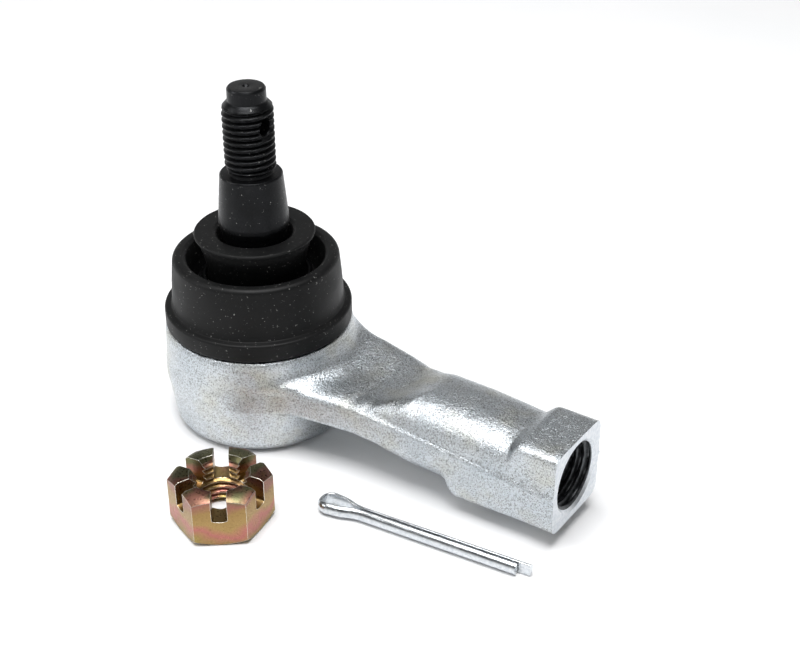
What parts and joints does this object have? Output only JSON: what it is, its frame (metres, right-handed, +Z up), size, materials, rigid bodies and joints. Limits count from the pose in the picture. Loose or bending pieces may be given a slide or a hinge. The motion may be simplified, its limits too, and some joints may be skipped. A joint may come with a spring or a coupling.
{
  "type": "tie rod end",
  "caption": "Steering tie rod end: forged zinc-plated housing and shank, rubber-booted tapered ball stud, loose slotted nut and cotter pin.",
  "frame": {"origin": "on the flat base of the housing, on the ball stud's axis; the base stands on the surface that the loose nut and pin lie on", "axes": "+Z up along the ball stud; +X along the shank towards its threaded end; +Y across the shank"},
  "size_m": [0.0934, 0.0633, 0.071],
  "materials": {
    "zinc_forging": "bright zinc plate over a grainy forged skin",
    "zinc_plate": "zinc plate on smooth sheet",
    "spring_steel": "oiled spring steel",
    "acetal": "moulded off-white acetal",
    "black_steel": "black oxide, scuffed on the thread crests",
    "rubber": "satin moulded rubber with a little dust",
    "yellow_zinc": "yellow chromated zinc with faint iridescence",
    "bright_zinc": "glossy bright zinc"
  },
  "bodies": {
    "housing": {"housing_body": "zinc_forging", "end_cover_plate": "zinc_plate", "preload_spring": "spring_steel", "boot_base_ring": "zinc_plate", "dust_boot": "rubber"},
    "ball_seat": {"lower_seat": "acetal", "upper_seat": "acetal"},
    "boot_clip": {"boot_neck_ring": "spring_steel"},
    "stud": {"ball_stud": "black_steel"},
    "nut": {"slotted_nut": "yellow_zinc"},
    "pin": {"cotter_pin": "bright_zinc"}
  },
  "joints": [
    {"name": "seat_turn", "type": "hinge", "parent": "housing", "child": "ball_seat", "pos_m": [0, 0, 0.0122], "axis": [0, 0, 1], "continuous": true},
    {"name": "stud_swing", "type": "hinge", "parent": "ball_seat", "child": "boot_clip", "pos_m": [0, 0, 0.0122], "axis": [0, 1, 0], "range_deg": [-20, 20], "deforming": ["dust_boot"]},
    {"name": "stud_spin", "type": "hinge", "parent": "boot_clip", "child": "stud", "pos_m": [0, 0, 0.0122], "axis": [0, 0, 1], "continuous": true},
    {"name": "nut_lift", "type": "slide", "parent": "housing", "child": "nut", "axis": [0, 0, 1], "range_m": [0, 0.03]},
    {"name": "pin_lift", "type": "slide", "parent": "housing", "child": "pin", "axis": [0, 0, 1], "range_m": [0, 0.03]}
  ]
}
